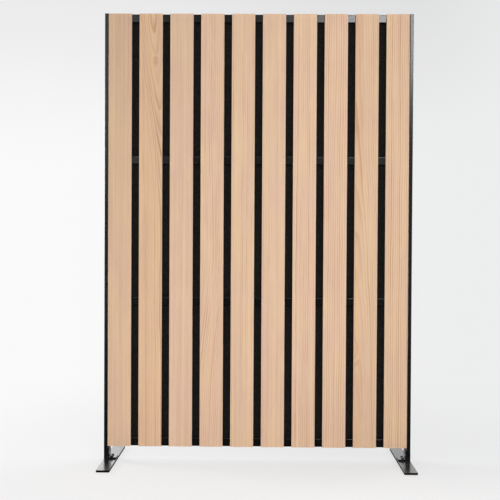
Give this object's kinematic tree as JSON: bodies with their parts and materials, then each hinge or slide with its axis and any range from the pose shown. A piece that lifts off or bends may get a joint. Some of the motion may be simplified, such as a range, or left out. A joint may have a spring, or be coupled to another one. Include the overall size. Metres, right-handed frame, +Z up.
{
  "type": "acoustic partition",
  "caption": "Free-standing acoustic screen: upright softwood slats over a black felt board, on black steel rails between flat-bar uprights with bolted flat feet.",
  "frame": {"origin": "on the floor, under the middle of the screen's width and depth", "axes": "+Z up, +X to the right seen from the front, +Y from the slatted front to the felt back"},
  "size_m": [1.2, 0.42, 1.75],
  "materials": {
    "slat_wood": "matte",
    "frame_steel": "satin",
    "acoustic_felt": "matte",
    "zinc_hardware": "satin",
    "floor_pad": "matte"
  },
  "bodies": {
    "root": {"slat_01": "slat_wood", "slat_02": "slat_wood", "slat_03": "slat_wood", "slat_04": "slat_wood", "slat_05": "slat_wood", "slat_06": "slat_wood", "slat_07": "slat_wood", "slat_08": "slat_wood", "slat_09": "slat_wood", "slat_10": "slat_wood", "rail_top": "frame_steel", "rail_upper": "frame_steel", "rail_lower": "frame_steel", "rail_bottom": "frame_steel", "rail_plugs": "zinc_hardware", "slat_screws": "zinc_hardware", "acoustic_felt": "acoustic_felt", "felt_washers": "frame_steel", "felt_screws": "frame_steel", "upright_left": "frame_steel", "rail_bolts_left": "frame_steel", "angle_bolts_left": "frame_steel", "foot_angle_left": "frame_steel", "foot_plate_left": "frame_steel", "foot_pads_left": "floor_pad", "foot_washers_left": "frame_steel", "foot_bolts_left": "frame_steel", "upright_right": "frame_steel", "rail_bolts_right": "frame_steel", "angle_bolts_right": "frame_steel", "foot_angle_right": "frame_steel", "foot_plate_right": "frame_steel", "foot_pads_right": "floor_pad", "foot_washers_right": "frame_steel", "foot_bolts_right": "frame_steel"}
  },
  "joints": []
}
